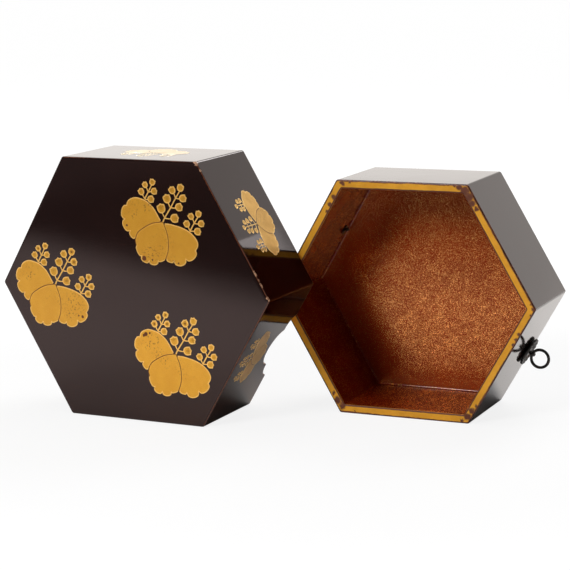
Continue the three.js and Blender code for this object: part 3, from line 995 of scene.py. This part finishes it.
# Chips along the lid's top edge: each a place, its radius, and its length along the way that the edge runs
CHIP_PLACES = [
    (136.2, 26, 1.5, 3.6), (142.6, 14.6, 1.3, 2.4), (149.2, 1.8, 1.6, 2.2), (75.2, 129.6, 2.1, 2.4),
    (79.6, 122.6, 1, 1.6), (140, 19.4, 0.8, 1.2),
]
CHIP_RUN = (0.5, -0.866)
CHIP_LEVEL = 98.6
LID_CHIPS = []
for x, y, radius, length in CHIP_PLACES:
    for step in (-0.5, 0.0, 0.5):
        LID_CHIPS.append((x + CHIP_RUN[0] * step * length, y + CHIP_RUN[1] * step * length, radius))

# How much red ground shows along each wall's edges
BOX_WEAR = {30: 0.9, 90: 0.8, 150: 0.7, 210: 0.6, 270: 0.8, 330: 0.8}
LID_WEAR = {30: 1.05, 90: 0.8, 150: 0.3, 210: 0.25, 270: 0.3, 330: 1.05}

sprinkled = sprinkled_lacquer()
lining = lining_lacquer()
box_finishes = [black_lacquer(), gilt_rim(RIM_SPOTS), sprinkled, lining]
lid_finishes = [black_lacquer("black_lacquer_lid", LID_CHIPS), gilt_rim(), sprinkled, lining]

box_shell = shell("lacquer_box", columns(), box_rows(), box_finishes, BOX_WEAR)
stand(box_shell, BOX_PLACE, "box", "black_lacquer", "box_base_board", *["box_wall_" + w for w in WALLS])
lid_shell = shell("lacquer_lid", columns(NOTCHED), lid_rows(), lid_finishes, LID_WEAR)
stand(lid_shell, LID_PLACE, "lid", "black_lacquer", "lid_top_board", *["lid_wall_" + w for w in WALLS])

for number, (at, painted_brightness, rubbed, worn, dusty) in enumerate(FACE_SPRIGS, 1):
    # Each sprig's gold and line highlight are scaled by its brightness: painted shade or painted light
    shades = [tuple(c * painted_brightness for c in shade) for shade in FACE_GOLD]
    line_highlight = tuple(c * lerp(painted_brightness, 1.0, HIGHLIGHT_EVENNESS) for c in FACE_LINE_HIGHLIGHT)
    finish = gold(f"gold_powder_{number}", shades, line_highlight, 0.5, 0.8, worn, dusty)
    at = (*at, LID_HEIGHT - LACQUER_INSET)
    sprig(f"face_sprig_{number}", finish, at, Matrix.Identity(4), FACE_PLAN, 1.0, rubbed)

wall_gold = gold("gold_powder_walls", WALL_GOLD, WALL_LINE_HIGHLIGHT, 0.75, 0.1)
# The top wall's sprig gets the paler copy of the gold, painted light
top_gold_painted_light = gold("gold_powder_top_painted_light", TOP_GOLD_PAINTED_LIGHT, TOP_LINE_HIGHLIGHT, 0.6, 0.4)
for name, angle in WALLS.items():
    depth, size = (NOTCHED_DEPTH, NOTCHED_SIZE) if angle in NOTCHED else (PLAIN_DEPTH, PLAIN_SIZE)
    a = radians(angle)
    along, raised, out = (-sin(a), cos(a), 0), (0, 0, 1), (cos(a), sin(a), 0)
    turn = Matrix((along, raised, out)).transposed().to_4x4()
    at = Vector(out) * (LID_APOTHEM - LACQUER_INSET) + Vector(raised) * (LID_HEIGHT - depth)
    finish = top_gold_painted_light if name == "top" else wall_gold
    sprig(f"wall_sprig_{name}", finish, at, turn, WALL_PLAN, size, BUDS_RUBBED[name])

# Ring fittings
FITTED = {"right": 330, "left": 150}
RING_WIRE = 1.5
RING_STEPS, WIRE_STEPS = 96, 16
FLOWER_RADIUS = 15.0
FLOWER_HEIGHT = 3.4
FLOWER_PLATE = 1.1
FLOWER_SEAT = 8.5
FLOWER_HOLE = 2.5
FLOWER_GAP = 0.3
FLOWER_LIP = 1.9
PETALS, PETAL_STEPS, FLOWER_ROWS = 16, 12, 12
LIP_SHARE, LIP_STEPS = 0.92, 8
PETAL_NOTCH = 0.45
PETAL_CROWN = 0.45
PETAL_FULLNESS = 0.6

# How uneven the forged wire is: shares of its thickness, waves once round the ring, and where they start
WIRE_WAVES = ((0.03, 3, 1), (0.015, 8, 0))


def closed_rows(name, rows, finish):
    """A ring-like body: each row is a loop of points, and the last row joins the first."""
    count = len(rows[0])
    faces = []
    for r in range(len(rows)):
        faces += joined(r * count, (r + 1) % len(rows) * count, count)
    return mesh_object(name, [p for row in rows for p in row], faces, [finish])


def eye_of(side):
    """The middle of a split pin's eye, and the direction of its ring's hinge."""
    joint = JOINTS[f"ring_{side}_swing"]
    return Vector(joint["pos_m"]), Vector(joint["axis"]).normalized()


def ring(side, finish):
    """A forged ring of round wire, a little uneven, hung in its pin's eye."""
    eye, hinge = eye_of(side)
    low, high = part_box(side + "_ring")
    centre = (Vector(low) + Vector(high)) / 2
    out = centre - eye
    across = hinge.cross(out.normalized())
    rows = []
    for a in circle(RING_STEPS):
        radial = out.normalized() * cos(a) + hinge * sin(a)
        uneven = sum(size * sin(waves * a + start) for size, waves, start in WIRE_WAVES)
        wire = RING_WIRE * MM * (1 + uneven)
        middle = centre + radial * out.length
        loop = circle(WIRE_STEPS)
        rows.append([middle + (radial * cos(b) + across * sin(b)) * wire for b in loop])
    made = closed_rows(side + "_ring_forged", rows, finish)
    stand(made, Matrix.Identity(4), "ring_" + side, "black_iron", side + "_ring")


def flower_washer(side, finish):
    """A cupped washer with petals round its rim, each with a raised middle."""
    eye, hinge = eye_of(side)
    wall = radians(FITTED[side])
    out = Vector((cos(wall), 0, sin(wall)))
    axis_point = Vector(PLACES["box_base"])
    foot = eye - out * ((eye - axis_point).dot(out) - (BOX_APOTHEM + FLOWER_GAP) * MM)
    across = out.cross(hinge)

    def row(share, level):
        """One loop, at a share of the way to the rim and a level from 0 on the underside to 1 on top."""
        points = []
        for a in circle(PETALS * PETAL_STEPS):
            petal = abs(sin(PETALS * a / 2)) ** PETAL_FULLNESS
            rim = FLOWER_RADIUS - PETAL_NOTCH * (1 - petal)
            radius = lerp(FLOWER_HOLE, rim, share)
            t = max(0.0, (radius - FLOWER_SEAT) / (FLOWER_RADIUS - FLOWER_SEAT))
            cup = (FLOWER_HEIGHT - FLOWER_PLATE) * sin(t * pi / 2)
            under = cup - FLOWER_LIP * t
            over = cup + FLOWER_PLATE - PETAL_CROWN * (1 - petal * min(1.0, 2 * share))
            height = lerp(under, over, level)
            radial = hinge * cos(a) + across * sin(a)
            points.append(foot + radial * radius * MM + out * height * MM)
        return points

    shares = [LIP_SHARE * sin(i / FLOWER_ROWS * pi / 2) for i in range(FLOWER_ROWS + 1)]
    turned = [i / LIP_STEPS * pi for i in range(1, LIP_STEPS)]
    lip = [row(LIP_SHARE + (1 - LIP_SHARE) * sin(a), (1 - cos(a)) / 2) for a in turned]
    rows = [row(share, 0.0) for share in shares] + lip + [row(share, 1.0) for share in reversed(shares)]
    made = closed_rows(side + "_flower_chased", rows, finish)
    made.data.set_sharp_from_angle(angle=radians(40))
    stand(made, Matrix.Identity(4), "box", "black_iron", side + "_flower_washer")


black_iron = iron()
for side in FITTED:
    ring(side, black_iron)
    flower_washer(side, black_iron)
    for piece in ("seat_washer", "split_pin", "inner_washer"):
        metal = frame["nodes"][f"{side}_{piece}"].data.materials
        metal.clear()
        metal.append(black_iron)

# Studio. The lamps: where they are, what they face, the side of their square and their brightness
LAMPS = (
    ("overhead", (-0.2, 0.1, 1.9), (0.0, 0.0, 0.0), 1.6, 1.2),
    ("back", (0.4, 1.5, 1.7), (0.0, 0.0, 0.1), 1.2, 5.5),
    ("key", (-0.64, -1.88, 1.25), (0.0, 0.0, 0.12), 0.7, 20.0),
)

# The floor: its corners, the paper's shades, and the share of plain white that the camera sees on it
FLOOR_CORNERS = ((-6, -6, 0), (6, -6, 0), (6, 14, 0), (-6, 14, 0))
FLOOR_PAPER = ((0.86, 0.86, 0.86), (0.90, 0.90, 0.90))
WHITE = (1.0, 1.0, 1.0)
FLOOR_SHARE = 0.82

# Ramps, each between two places and two strengths: how white the camera sees the floor, by the distance from
# its middle; the painted light that gloss sees on it in front, up to the object, close behind it, across
# there, and far behind, which leaves painted shadow close round the object and between lid and box; and how
# dim the room is on the left
FLOOR_SEEN = (0.35, 0.95, 1.04, 1.2)
GLOSS_FRONT = (-0.75, -0.35, 0.55, 1.1)
GLOSS_FRONT_END = (0.02, 0.07, 1.0, 0.0)
GLOSS_NEAR = (0.09, 0.122, 0.0, 1.5)
GLOSS_ACROSS = (0.04, 0.16, 0.25, 1.0)
GLOSS_BEHIND = (0.2, 0.33, 0.0, 0.55)
ROOM_DIM = (-0.95, -1.3, 0.15, 0.28)
ROOM_TINT = (1.0, 0.93, 0.93)

# The colour of that painted light, and where gloss sees the table run from dark to bright across its front
# corner
GLOSS_PAINTED_LIGHT = (0.46, 0.43, 0.40)
TABLE_SLANT = 0.5
TABLE_EDGE = (-0.66, -0.46)

# The room in reflections: ramps from the camera's side to behind the object, and over height
ROOM_BEHIND = (-0.25, 0.30)
ROOM_HIGH = (0.36, 0.18, 0.91, 1.08)
ROOM_LOW = (0.16, 0.115, 1.0, 1.34)
ROOM_LEAST = 0.02
ROOM_COLOUR = (1.0, 0.955, 0.91)
ROOM_LIGHT = 0.06


def softbox(name, at, target, size, radiance):
    """A square lamp whose face shines at a given radiance, 1 being white."""
    data = bpy.data.lights.new(name, "AREA")
    data.size = size
    data.energy = radiance * pi * size * size
    made = scene_object(name, data)
    made.location = at
    made.rotation_euler = (Vector(target) - Vector(at)).to_track_quat("-Z", "Y").to_euler()


def floor():
    """A white table with faint shadows. Gloss sees painted light on it, none close round the object, and its
    front part run into a dark room.
    """
    made, n = material("studio_floor")
    n.surface({
        "Base Color": n.mix(n.noise(30.0), *FLOOR_PAPER),
        "Roughness": 0.9,
        "Specular IOR Level": 0.1,
    })
    lit = n.shader.outputs["BSDF"]
    x, y = n.add("SeparateXYZ", {"Vector": n.here}).outputs[:2]
    far = n.ramp(n.vector("DISTANCE", n.here, (0.0, 0.0, 0.0)), *FLOOR_SEEN)
    seen = n.blend(FLOOR_SHARE, lit, n.shining("Emission", WHITE, far))
    # Seen in gloss only: pools of painted light in front of and behind the object, which leave painted shadow
    # close round it
    front = n.times(n.ramp(y, *GLOSS_FRONT), n.ramp(y, *GLOSS_FRONT_END))
    near = n.times(n.ramp(y, *GLOSS_NEAR), n.ramp(x, *GLOSS_ACROSS))
    painted_light = n.plus(front, n.plus(near, n.ramp(y, *GLOSS_BEHIND)))
    colour = n.vector("MULTIPLY", painted_light, GLOSS_PAINTED_LIGHT)
    diffuse = n.add("BsdfDiffuse", {"Color": colour}).outputs[0]
    bright = n.pair(n.add("AddShader"), lit, diffuse)[0]
    dark = n.shining("Emission", ROOM_TINT, n.ramp(x, *ROOM_DIM))
    slant = n.minus(y, n.times(x, TABLE_SLANT))
    camera_ray, gloss = n.rays()
    other = n.blend(gloss, lit, n.blend(n.ramp(slant, *TABLE_EDGE), dark, bright))
    n.put(n.output.inputs["Surface"], n.blend(camera_ray, other, seen))
    ground = mesh_object("studio_floor", FLOOR_CORNERS, [(0, 1, 2, 3)], [made])


def surroundings():
    """A white room behind the object, and a dim one on the camera's side."""
    world = bpy.data.worlds.new("studio")
    bpy.context.scene.world = world
    world.use_nodes = True
    n = Nodes(world.node_tree)
    direction = n.add("TexCoord").outputs["Generated"]
    y, z = n.add("SeparateXYZ", {"Vector": direction}).outputs[1:]
    shining = n.times(n.ramp(y, *ROOM_BEHIND), n.times(n.ramp(z, *ROOM_HIGH), n.ramp(z, *ROOM_LOW)))
    room = n.shining("Background", ROOM_COLOUR, n.plus(shining, ROOM_LEAST))
    lit = n.shining("Background", WHITE, ROOM_LIGHT)
    white = n.shining("Background", WHITE, 1.0)
    camera_ray, gloss = n.rays()
    n.add("OutputWorld", {"Surface": n.blend(camera_ray, n.blend(gloss, lit, room), white)})


# The camera, fitted to the corners of both hexagons in the photograph; the turns are in degrees
CAMERA_AT = (0.8076, -1.7608, 0.4898)
CAMERA_YAW, CAMERA_PITCH, CAMERA_ROLL = 24.49, -10.615, -1.193
CAMERA_LENS = 123.70


def camera():
    data = bpy.data.cameras.new("camera")
    data.lens = CAMERA_LENS
    data.clip_end = 50.0
    made = scene_object("camera", data)
    place = Matrix.Translation(Vector(CAMERA_AT))
    for turn, axis in ((CAMERA_YAW, "Z"), (90 + CAMERA_PITCH, "X"), (CAMERA_ROLL, "Z")):
        place = place @ Matrix.Rotation(radians(turn), 4, axis)
    made.matrix_world = place
    bpy.context.scene.camera = made


floor()
surroundings()
for lamp in LAMPS:
    softbox(*lamp)
camera()
bpy.context.scene.view_settings.view_transform = "Standard"
